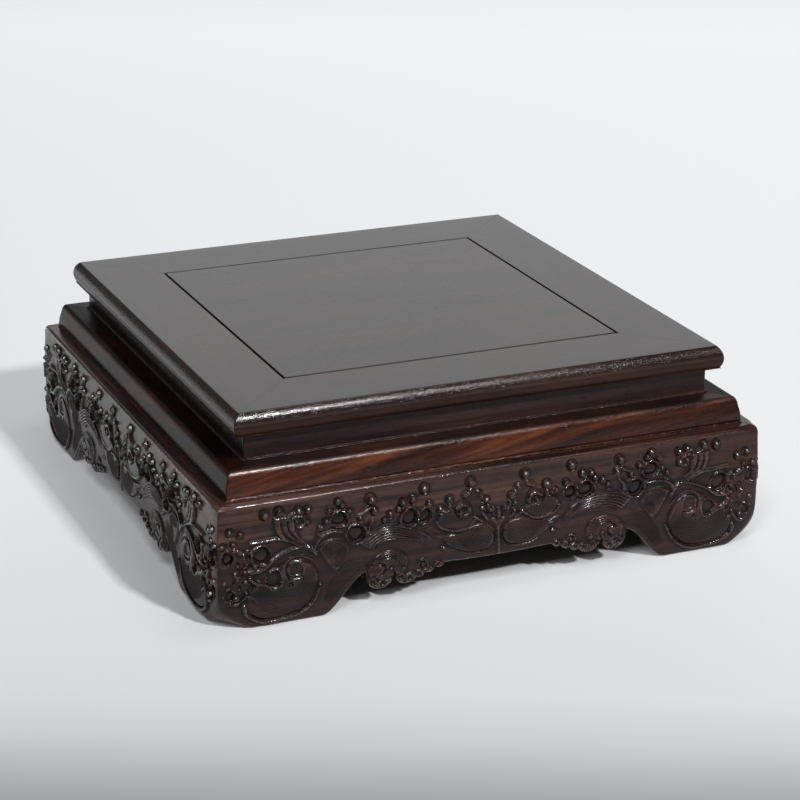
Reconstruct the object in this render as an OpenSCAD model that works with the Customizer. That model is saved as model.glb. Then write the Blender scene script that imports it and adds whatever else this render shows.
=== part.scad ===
// Square hardwood display stand: a framed top on a plain waist and a moulding,
// over four carved aprons whose ends come down as feet.
// Millimetres. The origin is on the floor under the middle of the top, +Z is up
// and the front faces -Y.

/* [Overall] */
// Width and depth across the plain bands of the aprons
base_w = 228; // [215:1:240]
// Height from the floor to the top face
total_h = 80; // [78:1:90]

/* [Top] */
// Distance that the top's rounded edge stands back from the apron face
top_set = 11.6; // [10.6:0.2:12.6]
// Thickness of the top rails, which is also the height of the rounded edge
top_t = 9; // [8.5:0.5:10]
// Width of one top rail, from its rounded edge to its inner edge
rail_w = 31; // [29:0.2:35]
// Radius of the top's rounded edge, seen in section
edge_r = 6.6; // [6.2:0.1:7.5]
// Plan radius on the corners of the top
top_corner_r = 0.6; // [0.4:0.1:1.5]
// Open line between the rails and the floating panel
panel_gap = 0.8; // [0.4:0.1:1.2]
// Thickness of the floating panel
panel_t = 5; // [4.5:0.1:5.5]
// Distance that the panel's tongue reaches into the rails
panel_tongue = 4.5; // [3:0.5:5]
// Thickness of the panel's tongue
panel_lip = 2; // [1.6:0.1:2.2]
// Distance of each panel batten from the middle
batten_x = 36; // [26:1:46]
// Width of a panel batten
batten_w = 12; // [10:1:16]
// Depth of a panel batten below the panel
batten_h = 6; // [5:0.5:8]
// Width that a batten's dovetail gains on each side inside the panel
tail_flare = 1; // [0.5:0.1:1.2]
// Height of the dovetail inside the panel
tail_h = 2; // [1.5:0.1:2.5]
// Height of a batten's end where it is lapped into a rail
lap_h = 2.5; // [2:0.1:2.8]
// Length of a batten's end where it is lapped into a rail
lap_l = 6; // [4:0.5:8]

/* [Waist] */
// Distance that the waist stands back from the apron face
waist_set = 16.8; // [16:0.1:18.5]
// Height of the waist that shows
waist_h = 11; // [9:0.5:12]
// Thickness of the waist boards
waist_t = 9; // [8:0.5:10]

/* [Moulding] */
// Distance that the foot of the moulding stands back from the apron face
mould_set = 5.9; // [5.2:0.1:6.6]
// Height of the moulding
mould_h = 10.6; // [10:0.2:12]
// Amount that the moulding's face leans back over its height
mould_lean = 1.3; // [0.8:0.1:1.8]
// Radius of the moulding's upper edge
mould_r = 3; // [2.5:0.5:4]
// Width of a moulding board
mould_w = 23.6; // [23:0.2:27]
// Radius on the lower edge of the moulding's face
mould_foot_r = 1.5; // [1:0.1:2]

/* [Apron] */
// Thickness of the apron boards behind the carving
apron_t = 15; // [14:0.5:17]
// Half the distance between the feet at the floor
foot_in = 73; // [68:1:76]
// Width of the curve between a foot and the edge of the apron
foot_curve_w = 18; // [15:1:20]
// Height of the apron's lower edge above the floor
arch_h = 14.3; // [12.5:0.1:16]
// Drop of the apron's lower edge at the middle of a side
belly_drop = 1.3; // [0.5:0.1:2]
// Height of the round on the outer corner of a foot
toe_h = 17; // [14:0.5:18]
// Radius of the round on the outer corner of a foot
toe_r = 20; // [19:0.5:23]
// Height that the carved waves stand proud of the plain band
carve_h = 1.2; // [0.8:0.1:1.4]
// Depth that the middle of each spray bead lies under the plain band
bead_sink = 0.3; // [0.1:0.1:0.5]
// Height by which the drawing of the waves is raised on the aprons
carve_lift = 0.7; // [0.4:0.1:1]

/* [Joinery] */
// Room left on each face of a hidden joint
fit_gap = 0.1; // [0.05:0.05:0.15]
// Room left at the end of a tenon, tongue or pin
end_gap = 0.3; // [0.2:0.1:0.4]
// Thickness of the rail tenons
tenon_t = 3; // [2.5:0.1:3.2]
// Width of the rail tenons
tenon_w = 9; // [7:0.5:10]
// Distance from the middle of a tenon up to the panel's underside
tenon_drop = 0.8; // [0.6:0.1:1]
// Wood left between the end of a tenon and the rounded edge
tenon_back = 2; // [1:0.5:4]
// Thickness of the tongues on the waist boards
tongue_t = 3; // [2.5:0.1:3.2]
// Height of the tongues on the waist boards
tongue_h = 2.2; // [1.8:0.1:2.4]
// Diameter of the pins between the moulding and the aprons
pin_d = 5; // [4:0.5:5.5]
// Length of those pins
pin_l = 11; // [9:0.5:11.5]
// Distance of the pins from the middle of a side
pin_x = 58; // [45:1:65]
// Thickness of the keys across the mitres
key_t = 2.2; // [1.6:0.1:2.4]
// Width of the keys across the mitres
key_w = 8; // [6:0.5:9]
// Height of the upright keys in the apron mitres
key_h = 26; // [20:1:28]
// Depth of the upright keys below the top of the aprons
key_drop = 4; // [3:0.5:6]
// Height of the moulding's keys above its underside
mould_key_rise = 3; // [2.5:0.5:4]
// Distance of the moulding's keys inside the upright ones
mould_key_in = 5; // [4:0.5:6]
// Side of an inner corner block
block_w = 20; // [16:1:22]
// Height of the corner blocks above the floor
block_lift = 1.5; // [1:0.5:3]

/* [Hidden] */
$fn = 48;
over = 1;
half = base_w / 2;
rail_z = total_h - top_t;
mould_z = rail_z - waist_h;
apron_h = mould_z - mould_h;
top_half = half - top_set;
rail_in = top_half - rail_w;
panel_z = total_h - panel_t;
waist_half = half - waist_set;
tongue_s = waist_half - waist_t / 2 - tongue_t / 2;
mould_half = half - mould_set;
mould_in = mould_half - mould_w;
apron_in = half - apron_t;
key_s = half - apron_t / 2;
tenon_s = rail_in + rail_w * 0.42;
tenon_z = panel_z - tenon_drop;
tenon_end = top_half - top_t / 2 - tenon_back;
lap_w = batten_w * 0.65;
tail_w = batten_w * 0.75;
block_in = apron_in - block_w;
kx = base_w / 228;
kz = apron_h / 49.4;
kr = min(kx, kz);
wood_top = [0.17, 0.13, 0.12];
wood_red = [0.27, 0.15, 0.10];
wood_dark = [0.14, 0.10, 0.09];
wood_inner = [0.33, 0.24, 0.17];

// Lobes along the lower edge on one half: distance from the middle, depth of the
// centre below the edge, and radius
lobes = [[49.6, 1.97, 5.3], [38.6, 1.94, 4.7], [33, 2.25, 2.5], [29, 1, 2.3], [25, -0.33, 2.1]];

// Centres and radii of the spray beads on one half of a face
beads = [
    [94.5, 43.6, 1.75], [88.9, 43.9, 1.9], [81.3, 43.4, 1.6], [77.8, 43, 1.5],
    [108.4, 38.8, 1.5], [104.3, 37.2, 1.5], [65.6, 44.4, 1.5], [69.2, 41.6, 1.6],
    [60.8, 40, 1.4], [52.3, 43.2, 1.9], [51, 38.6, 1.5], [30.9, 44.2, 1.9],
    [35.6, 40.6, 1.7], [39.5, 40, 1.5], [44.6, 36.2, 1.4], [28.7, 37.6, 1.4],
    [24.2, 34.8, 1.5], [20.6, 38.4, 1.75], [11.4, 43.8, 1.9], [5.3, 35.8, 1.5]
];

// Centres and radii of the foam rings on one half of a face
rings = [
    [109.2, 28.6, 3], [96.3, 28, 4.1], [91.4, 17.3, 3.2], [65.3, 37.8, 3.6],
    [58.8, 30.8, 4], [37, 34, 3.8], [30.5, 33.7, 3], [14.8, 33.2, 2.7], [31.2, 13.8, 2.4]
];

// Curves of the wave crests on one half: four control points, then the width
// at each end
crests = [
    [[82, 2.6], [90, 2], [98, 3], [103, 9], 3.4, 2],
    [[75, 25], [76, 31], [87, 31], [87, 42], 3, 5.4],
    [[81.6, 29.6], [91, 28], [92, 22.4], [101, 22.4], 1.6, 2],
    [[82, 31], [88, 34.4], [94, 33.6], [100, 33.4], 1.6, 2],
    [[75.8, 27.6], [74.5, 31], [69, 34], [63.5, 32.6], 2, 1.6],
    [[69.5, 7], [64, 13], [59, 18], [53, 27], 4.4, 3],
    [[55, 24.6], [46, 34], [35, 30.6], [23, 18.8], 6, 1.6],
    [[26, 30], [23, 26], [15, 25], [10, 29.6], 2, 2],
    [[8.6, 39.6], [7.4, 36], [5, 32], [1, 29], 2.2, 2]
];

function mix2(a, b, t) = a * (1 - t) + b * t;
function bez(c, t) = mix2(
    mix2(mix2(c[0], c[1], t), mix2(c[1], c[2], t), t),
    mix2(mix2(c[1], c[2], t), mix2(c[2], c[3], t), t), t);
function slope(c, t) = bez(c, min(1, t + 0.02)) - bez(c, max(0, t - 0.02));
function unit(v) = v / norm(v);
function edge(c, t, sgn) = let (d = unit(slope(c, t)), w = mix2(c[4], c[5], t) / 2)
    bez(c, t) + sgn * w * [-d[1], d[0]];
function ease(t) = let (u = max(0, min(1, t))) u * u * (3 - 2 * u);

// Lower edge of an apron: down to the floor at the feet, a shallow belly between
function under(x) = abs(x) > foot_in - foot_curve_w
    ? arch_h * ease((foot_in - abs(x)) / foot_curve_w)
    : arch_h - belly_drop * pow(cos(90 * abs(x) / (foot_in - foot_curve_w)), 2);

// Turns a piece built at the front round to one of the four sides
module side(n) {
    rotate([0, 0, 90 * n]) children();
}

// Carries an upright section along the front: section x is the distance from the
// middle towards the front, section y is the height
module along_front(len) {
    rotate([90, 0, -90]) linear_extrude(height = len, center = true) children();
}

// The share of the plan that belongs to the front between its two mitres
module mitred() {
    intersection() {
        children();
        translate([0, 0, -over]) linear_extrude(height = total_h + 2 * over)
            polygon([[0, 0], [-half - 9, -half - 9], [half + 9, -half - 9]]);
    }
}

// A box across a mitre at one corner of the front, square to the mitre
module across_mitre(s, z, along, across, high) {
    translate([s, -s, z]) rotate([0, 0, 45])
        translate([-across / 2, -along / 2, 0]) cube([across, along, high]);
}

module key_slot(s, z, along, across, high) {
    for (m = [0, 1])
        mirror([m, 0, 0])
            across_mitre(s, z - fit_gap, along + 2 * fit_gap,
                across + 2 * end_gap, high + 2 * fit_gap);
}

// Section of a top rail with its rounded edge, panel groove and waist groove; the
// edge is an arc that meets the top face and the underside at a crisp line
module rail_section() {
    difference() {
        union() {
            translate([rail_in, rail_z]) square([rail_w - edge_r, top_t]);
            intersection() {
                translate([top_half - edge_r - over, rail_z]) square([edge_r + 2 * over, top_t]);
                translate([top_half - edge_r, rail_z + top_t * 0.43]) circle(r = edge_r, $fn = 96);
            }
        }
        translate([rail_in - over, panel_z - fit_gap])
            square([panel_tongue + end_gap + over, panel_lip + 2 * fit_gap]);
        translate([tongue_s - fit_gap, rail_z - over])
            square([tongue_t + 2 * fit_gap, tongue_h + end_gap + over]);
    }
}

module rail_blank() {
    intersection() {
        mitred() along_front(2 * half) rail_section();
        translate([0, 0, rail_z - over]) linear_extrude(height = top_t + 2 * over)
            union() {
                square([2 * top_half, 2 * (top_half - top_corner_r)], center = true);
                square([2 * (top_half - top_corner_r), 2 * top_half], center = true);
                for (a = [0 : 3])
                    rotate([0, 0, 90 * a])
                        translate([top_half - top_corner_r, top_half - top_corner_r])
                            circle(r = top_corner_r);
            }
    }
}

// Front and back rails carry a tenon at each end and take the ends of the battens
module tenon_rail() {
    difference() {
        union() {
            rail_blank();
            for (m = [0, 1])
                mirror([m, 0, 0])
                    translate([tenon_s - tenon_w / 2, -tenon_s - tenon_w / 2, tenon_z - tenon_t / 2])
                        cube([tenon_end - tenon_s + tenon_w / 2, tenon_w, tenon_t]);
        }
        for (m = [0, 1])
            mirror([m, 0, 0])
                translate([batten_x - lap_w / 2 - fit_gap, -rail_in - lap_l - end_gap, rail_z - over])
                    cube([lap_w + 2 * fit_gap, lap_l + end_gap + over, lap_h + fit_gap + over]);
    }
}

// Left and right rails are mortised for those tenons
module mortise_rail() {
    difference() {
        rail_blank();
        for (m = [0, 1])
            mirror([m, 0, 0])
                translate([tenon_s - tenon_w / 2 - fit_gap, -tenon_end - end_gap,
                    tenon_z - tenon_t / 2 - fit_gap])
                    cube([tenon_w + 2 * fit_gap, tenon_end, tenon_t + 2 * fit_gap]);
    }
}

// Section of a sliding dovetail batten, widest inside the panel
module tail_section(room) {
    polygon([
        [-tail_w / 2 - room, panel_z], [tail_w / 2 + room, panel_z],
        [tail_w / 2 + tail_flare + room, panel_z + tail_h + room],
        [-tail_w / 2 - tail_flare - room, panel_z + tail_h + room]
    ]);
}

module top_panel() {
    color(wood_top) difference() {
        union() {
            translate([-rail_in + panel_gap, -rail_in + panel_gap, panel_z])
                cube([2 * (rail_in - panel_gap), 2 * (rail_in - panel_gap), panel_t]);
            translate([-rail_in - panel_tongue, -rail_in - panel_tongue, panel_z])
                cube([2 * (rail_in + panel_tongue), 2 * (rail_in + panel_tongue), panel_lip]);
        }
        for (m = [-1, 1])
            translate([m * batten_x, 0, 0]) rotate([90, 0, 0])
                linear_extrude(height = 2 * half, center = true) tail_section(fit_gap);
    }
}

module batten(x) {
    color(wood_inner) translate([x, 0, 0]) union() {
        rotate([90, 0, 0]) linear_extrude(height = 2 * (rail_in - end_gap), center = true)
            union() {
                tail_section(0);
                translate([-batten_w / 2, panel_z - batten_h]) square([batten_w, batten_h]);
            }
        translate([-lap_w / 2, -rail_in - lap_l, rail_z])
            cube([lap_w, 2 * (rail_in + lap_l), lap_h]);
    }
}

module panel_batten_left() {
    batten(-batten_x);
}

module panel_batten_right() {
    batten(batten_x);
}

module top_rail_front() {
    color(wood_top) tenon_rail();
}

module top_rail_right() {
    color(wood_top) side(1) mortise_rail();
}

module top_rail_back() {
    color(wood_top) side(2) tenon_rail();
}

module top_rail_left() {
    color(wood_top) side(3) mortise_rail();
}

// A waist board stands in a groove of the moulding and enters a groove of the rail
module waist() {
    mitred() along_front(2 * half) union() {
        translate([waist_half - waist_t, mould_z]) square([waist_t, waist_h]);
        translate([tongue_s, mould_z - tongue_h]) square([tongue_t, waist_h + 2 * tongue_h]);
    }
}

module waist_front() {
    color(wood_dark) waist();
}

module waist_right() {
    color(wood_dark) side(1) waist();
}

module waist_back() {
    color(wood_dark) side(2) waist();
}

module waist_left() {
    color(wood_dark) side(3) waist();
}

module pins(room) {
    for (m = [-1, 1])
        translate([m * pin_x, -(apron_in + mould_half) / 2, apron_h - pin_l / 2 - room])
            cylinder(d = pin_d, h = pin_l + 2 * room);
}

module mould_section() {
    crown = mould_half - mould_lean;
    difference() {
        union() {
            polygon([
                [mould_in, apron_h], [mould_half - mould_foot_r, apron_h],
                [mould_half - mould_foot_r, apron_h + mould_foot_r], [mould_half, apron_h + mould_foot_r],
                [crown, mould_z - mould_r], [crown - mould_r, mould_z - mould_r],
                [crown - mould_r, mould_z], [mould_in, mould_z]
            ]);
            translate([crown - mould_r, mould_z - mould_r]) circle(r = mould_r);
            translate([mould_half - mould_foot_r, apron_h + mould_foot_r]) circle(r = mould_foot_r);
        }
        translate([tongue_s - fit_gap, mould_z - tongue_h - end_gap])
            square([tongue_t + 2 * fit_gap, tongue_h + end_gap + over]);
    }
}

module moulding() {
    difference() {
        mitred() along_front(2 * half) mould_section();
        pins(end_gap);
        key_slot(key_s - mould_key_in, apron_h + mould_key_rise, key_w, key_w, key_t);
    }
}

module moulding_front() {
    color(wood_red) moulding();
}

module moulding_right() {
    color(wood_red) side(1) moulding();
}

module moulding_back() {
    color(wood_red) side(2) moulding();
}

module moulding_left() {
    color(wood_red) side(3) moulding();
}

// Outline of an apron seen from the front, with the scalloped lobes that hang
// either side of its middle
module apron_outline() {
    steps = 60;
    union() {
        polygon(concat(
            [[-half - 9, apron_h], [-half - 9, 0], [-foot_in, 0]],
            [for (i = [1 : steps - 1]) let (x = -foot_in + 2 * foot_in * i / steps) [x, under(x)]],
            [[foot_in, 0], [half + 9, 0], [half + 9, apron_h]]
        ));
        for (m = [-1, 1])
            for (b = lobes)
                translate([m * b[0] * kx, under(b[0] * kx) - b[1] * kr]) circle(r = b[2] * kr);
    }
}

// Puts a raised form on the front face: its own z points out of the wood
module on_face(x, z) {
    translate([x, -half, z + carve_lift]) rotate([90, 0, 0]) children();
}

module coin(x, z, r, high) {
    on_face(-x * kx, z * kz) translate([0, 0, -over]) cylinder(r = r * kr, h = high + over);
}

// A rolled wave: a low disc with a raised rim, a raised inner turn and a round eye
module scroll(x, z, r) {
    coin(x, z, r, carve_h * 0.6);
    difference() {
        coin(x, z, r, carve_h);
        coin(x, z, r * 0.8, 2 * carve_h);
    }
    difference() {
        coin(x, z, r * 0.58, carve_h);
        coin(x, z, r * 0.42, 2 * carve_h);
    }
    coin(x, z, r * 0.24, carve_h * 1.15);
}

module foam_ring(x, z, r) {
    difference() {
        coin(x, z, r, carve_h);
        on_face(-x * kx, z * kz) translate([0, 0, carve_h / 6])
            cylinder(r = r * kr * 0.5, h = 2 * carve_h);
    }
}

module crest(c) {
    steps = 10;
    on_face(0, 0) translate([0, 0, -over]) linear_extrude(height = carve_h + over)
        polygon(concat(
            [for (i = [0 : steps]) let (p = edge(c, i / steps, 1)) [-p[0] * kx, p[1] * kz]],
            [for (i = [steps : -1 : 0]) let (p = edge(c, i / steps, -1)) [-p[0] * kx, p[1] * kz]]
        ));
}

// A leaf-shaped wave beside the middle, between two arcs
module leaf(x, z, long, high) {
    r = (long * long + high * high) / (2 * high);
    intersection() {
        coin(x, z + r - high, r, carve_h);
        coin(x, z - r + high, r, carve_h);
    }
}

module carving_half() {
    scroll(84, 14.2, 12.6);
    scroll(66, 23, 5.6);
    scroll(46.8, 15.4, 6);
    leaf(12, 20.2, 11.6, 5.6);
    leaf(18.5, 30, 7, 3.6);
    for (b = rings) foam_ring(b[0], b[1], b[2]);
    for (c = crests) crest(c);
    for (b = beads)
        on_face(-b[0] * kx, b[1] * kz) translate([0, 0, -bead_sink]) sphere(r = b[2] * kr);
}

// Rounds the outer corner of a foot on its diagonal
module toe_cut() {
    d = half * sqrt(2);
    rotate([0, 0, -45]) rotate([90, 0, 0]) linear_extrude(height = 2 * half, center = true)
        difference() {
            translate([d - toe_r, -over]) square([toe_r + 9, toe_h + over]);
            translate([d - toe_r, toe_h]) circle(r = toe_r);
        }
}

// An apron board with its two half feet, carved on its outer face
module apron() {
    difference() {
        union() {
            mitred() translate([0, -apron_in, 0]) rotate([90, 0, 0])
                linear_extrude(height = apron_t) apron_outline();
            for (m = [0, 1])
                mirror([m, 0, 0]) carving_half();
        }
        for (m = [0, 1])
            mirror([m, 0, 0]) toe_cut();
        pins(end_gap);
        key_slot(key_s, apron_h - key_h - key_drop, key_t, key_w, key_h);
    }
}

module apron_front() {
    color(wood_dark) apron();
}

module apron_right() {
    color(wood_dark) side(1) apron();
}

module apron_back() {
    color(wood_dark) side(2) apron();
}

module apron_left() {
    color(wood_dark) side(3) apron();
}

// A glue block in the inner corner of two aprons, clear of the floor
module corner_block() {
    color(wood_inner) translate([0, 0, block_lift]) linear_extrude(height = apron_h - block_lift)
        polygon([
            [-apron_in, -apron_in], [-block_in, -apron_in], [-block_in, -apron_in + block_w * 0.55],
            [-apron_in + block_w * 0.55, -block_in], [-apron_in, -block_in]
        ]);
}

module corner_block_front_left() {
    side(0) corner_block();
}

module corner_block_front_right() {
    side(1) corner_block();
}

module corner_block_back_right() {
    side(2) corner_block();
}

module corner_block_back_left() {
    side(3) corner_block();
}

// Round pins that stand half in the aprons and half in the moulding
module moulding_pins() {
    color(wood_inner) for (n = [0 : 3]) side(n) pins(0);
}

// Loose keys glued across the moulding's mitres
module moulding_keys() {
    color(wood_inner) for (n = [0 : 3])
        side(n) across_mitre(key_s - mould_key_in, apron_h + mould_key_rise, key_w, key_w, key_t);
}

// Loose upright keys glued across the mitres of the aprons
module apron_keys() {
    color(wood_inner) for (n = [0 : 3])
        side(n) across_mitre(key_s, apron_h - key_h - key_drop, key_t, key_w, key_h);
}

top_panel();
panel_batten_left();
panel_batten_right();
top_rail_front();
top_rail_right();
top_rail_back();
top_rail_left();
waist_front();
waist_right();
waist_back();
waist_left();
moulding_front();
moulding_right();
moulding_back();
moulding_left();
apron_front();
apron_right();
apron_back();
apron_left();
corner_block_front_left();
corner_block_front_right();
corner_block_back_left();
corner_block_back_right();
moulding_pins();
moulding_keys();
apron_keys();
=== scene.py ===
import math
import bpy
import numpy as np
from mathutils import Matrix


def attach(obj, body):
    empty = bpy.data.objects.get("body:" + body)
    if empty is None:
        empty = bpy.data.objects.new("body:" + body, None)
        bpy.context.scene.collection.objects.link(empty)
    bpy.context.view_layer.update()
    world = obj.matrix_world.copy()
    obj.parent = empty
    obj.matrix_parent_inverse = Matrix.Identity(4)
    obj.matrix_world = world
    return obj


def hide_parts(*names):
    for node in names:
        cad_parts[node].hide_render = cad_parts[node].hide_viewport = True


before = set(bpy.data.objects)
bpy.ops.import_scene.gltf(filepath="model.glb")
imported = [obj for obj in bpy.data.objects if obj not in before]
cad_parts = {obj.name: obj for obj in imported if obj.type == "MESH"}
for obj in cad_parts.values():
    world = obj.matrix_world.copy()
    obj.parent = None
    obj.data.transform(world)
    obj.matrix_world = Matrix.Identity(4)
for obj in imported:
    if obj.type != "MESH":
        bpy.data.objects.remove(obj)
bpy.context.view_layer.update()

# Carved aprons: four boards of dark hardwood, mitred at the corners, whose ends
# come down as feet. Sea waves, foam rings and spray are cut in low relief on the
# outer face, and the lower edge is scalloped.
SIDES = ("front", "right", "back", "left")
FACE, APRON_TOP, APRON_BACK = 114.0, 49.4, 99.0
TOE_H, TOE_R, MITRE_GAP = 17.0, 20.0, 0.04
FOOT_IN, BELLY_OUT, BELLY_H, BELLY_DROP = 73.0, 55.0, 14.3, 1.3
DRAWING_LIFT, FRONT_SHIFT = 0.7, 0.7
LOBES = ((49.6, 12.3, 5.3), (38.6, 12.1, 4.7), (33, 11.6, 2.5), (29, 12.7, 2.3), (25, 13.9, 2.1))


def ease(t):
    """Smooth step: three t squared less two t cubed, held at 0 and 1 outside."""
    t = np.clip(t, 0, 1)
    return t * t * (3 - 2 * t)


def through(points, steps=10):
    """Curve through the points, a Catmull-Rom cubic between each two."""
    p = np.asarray(points, float)
    a = np.vstack([2 * p[0] - p[1], p, 2 * p[-1] - p[-2]])
    t = np.linspace(0, 1, steps, endpoint=False)[:, None]
    spans = [0.5 * (2 * a[i + 1] + (a[i + 2] - a[i]) * t
                    + (2 * a[i] - 5 * a[i + 1] + 4 * a[i + 2] - a[i + 3]) * t ** 2
                    + (3 * a[i + 1] - a[i] - 3 * a[i + 2] + a[i + 3]) * t ** 3)
             for i in range(len(p) - 1)]
    return np.vstack(spans + [p[-1:]])


def plain_edge(x):
    """Height of the lower edge without its lobes: an S from each foot up to a shallow
    belly between them."""
    a = np.abs(x)
    rise = BELLY_H * ease((FOOT_IN - a) / (FOOT_IN - BELLY_OUT))
    belly = BELLY_H - BELLY_DROP * np.cos(np.pi / 2 * np.clip(a / BELLY_OUT, 0, 1)) ** 2
    return np.where(a > BELLY_OUT, rise, belly)


def lower_edge(x):
    """The plain edge, lowered to the underside of each lobe's circle."""
    a, edge = np.abs(x), plain_edge(x)
    for cx, cz, r in LOBES:
        d = np.clip(1 - ((a - cx) / r) ** 2, 0, 1)
        edge = np.where(d > 0, np.minimum(edge, cz - r * np.sqrt(d)), edge)
    return edge


class Relief:
    """Height of the carving over many points of one half of a face, in millimetres.
    Each method cuts or raises one kind of form by the distance from its curve. The
    finest gouge lines are kept as a count of lines passed and how deep they are."""

    def __init__(self, x, z):
        self.x, self.z, self.h = -np.abs(x), z, np.zeros_like(x)
        self.passed, self.deep = np.zeros_like(x), np.zeros_like(x)

    def raise_to(self, i, new, where):
        """Lifts points to a new height where that is higher, which ends their gouge lines."""
        up = where & (new > self.h[i])
        self.h[i] = np.where(up, new, self.h[i])
        self.deep[i] = np.where(up, 0, self.deep[i])

    def window(self, c, room):
        """Numbers of the points in the box about a curve, with some room."""
        lo, hi = c.min(0) - room, c.max(0) + room
        return np.nonzero((self.x > lo[0]) & (self.x < hi[0]) & (self.z > lo[1]) & (self.z < hi[1]))[0]

    def near(self, c, i):
        """Distance of the points i from the curve, and the share of its length there."""
        px, pz = self.x[i], self.z[i]
        best, at = np.full(len(i), 1e9), np.zeros(len(i))
        for k in range(len(c) - 1):
            d = c[k + 1] - c[k]
            t = np.clip(((px - c[k, 0]) * d[0] + (pz - c[k, 1]) * d[1]) / max(d @ d, 1e-12), 0, 1)
            r = np.hypot(px - c[k, 0] - t * d[0], pz - c[k, 1] - t * d[1])
            m = r < best
            best[m], at[m] = r[m], ((k + t) / (len(c) - 1))[m]
        return best, at

    def inside(self, c, i):
        """True where a line to the right crosses the closed curve an odd number of times."""
        px, pz = self.x[i], self.z[i]
        odd = np.zeros(len(i), bool)
        for (x0, z0), (x1, z1) in zip(c, np.roll(c, -1, 0)):
            if z0 != z1:
                odd ^= ((z0 > pz) != (z1 > pz)) & (px < (x1 - x0) * (pz - z0) / (z1 - z0) + x0)
        return odd

    def depth_in(self, points, room=0.3):
        """Points near a closed form and how far each lies inside its edge."""
        c = through(list(points) + [points[0]])
        i = self.window(c, room)
        d, _ = self.near(c, i)
        return i, np.where(self.inside(c[:-1], i), d, -d)

    def ridge(self, points, w0, w1, level, top):
        """A half-round ridge along a curve, its half-width going from w0 to w1."""
        c = through(points)
        i = self.window(c, max(w0, w1) + 0.2)
        d, t = self.near(c, i)
        w = w0 + (w1 - w0) * t
        p = level + top * np.sqrt(np.clip(1 - (d / w) ** 2, 0, 1))
        self.raise_to(i, p, d < w)

    def cut(self, c, w, deep, fade=0.12):
        """A gouge line along a curve: a bell-shaped hollow that fades at both ends."""
        i = self.window(c, 3 * w)
        d, t = self.near(c, i)
        self.h[i] -= deep * np.exp(-(d / w) ** 2) * ease(t / fade) * ease((1 - t) / fade)

    def lines(self, first, last, count, w, deep, fade=0.12):
        """Gouge lines spread evenly from one curve to another."""
        a, b = through(first), through(last)
        for s in np.linspace(0, 1, count):
            self.cut(a * (1 - s) + b * s, w, deep, fade)

    def swell(self, points, level, soft, dome=0.0):
        """A raised form whose quarter-round shoulder is soft wide, with a crown."""
        i, d = self.depth_in(points)
        u = np.clip((d + 0.15) / soft, 0, 1)
        p = level * np.sqrt(1 - (1 - u) ** 2) + dome * ease(d / 6.0)
        self.raise_to(i, p, d > -0.15)

    def sink(self, points, deep, soft):
        """A shallow hollow inside a closed form."""
        i, d = self.depth_in(points)
        self.h[i] -= deep * ease(d / soft)

    def ring(self, x, z, rx, rz, top, dish, thick=0.11):
        """A foam ring: a half-round rim of uneven breadth about a deep hollow whose middle
        swells again."""
        dx, dz = (self.x - x) / rx, (self.z - z) / rz
        i = np.nonzero(np.hypot(dx, dz) < 1.1)[0]
        a = np.arctan2(dz[i], dx[i])
        r = np.hypot(dx[i], dz[i]) * (1 + 0.05 * np.sin(2 * a + 3 * x) + 0.04 * np.sin(3 * a + 5 * z))
        w = thick * (1 + 0.3 * np.sin(a + 7 * x))
        mid = 1 - w
        rim = np.sqrt(np.clip(1 - ((r - mid) / w) ** 2, 0, 1))
        floor = dish + 0.3 * (top - dish) * np.sqrt(np.clip(1 - (r / (mid - 1.3 * w)) ** 2, 0, 1))
        inner = np.maximum(floor, dish + (top - dish) * rim)
        new = np.where(r > mid, np.maximum(self.h[i], top * rim), inner)
        self.h[i] = np.where(r < 1, new, self.h[i])
        self.deep[i] = np.where(r < 1, 0, self.deep[i])

    def pit(self, x, z, r, deep):
        """A round hollow: the lower half of a flattened sphere."""
        d = np.hypot(self.x - x, self.z - z) / r
        i = np.nonzero(d < 1)[0]
        self.h[i] -= deep * np.sqrt(1 - d[i] ** 2)

    def whorl(self, points, cx, cz, squeeze, pitch, phase, deep, r0, r1, window):
        """Close gouge lines on rings about a centre, inside a closed form."""
        c = through(list(points) + [points[0]])[:-1]
        r = np.hypot((self.x - cx) * squeeze, self.z - cz)
        a = np.degrees(np.arctan2(self.z - cz, self.x - cx))
        live = np.nonzero(self.inside(c, np.arange(self.x.size)))[0]
        self.passed[live] = (r[live] - phase) / pitch
        self.deep[live] = deep * ease((r[live] - r0) / 1.1) * ease((r1 - r[live]) / 1.0) * window(a[live])

    def hatch(self, first, last, count, deep, fade=0.15):
        """Close gouge lines between two curves: the share of the way from one to the other,
        times their count."""
        a, b = through(first), through(last)
        i = self.window(np.vstack([a, b]), 0.3)
        i = i[self.inside(np.vstack([a, b[::-1]]), i)]
        (da, ta), (db, tb) = self.near(a, i), self.near(b, i)
        along = (ta + tb) / 2
        self.passed[i] = da / (da + db + 1e-9) * count
        self.deep[i] = deep * ease(along / fade) * ease((1 - along) / fade)


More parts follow.
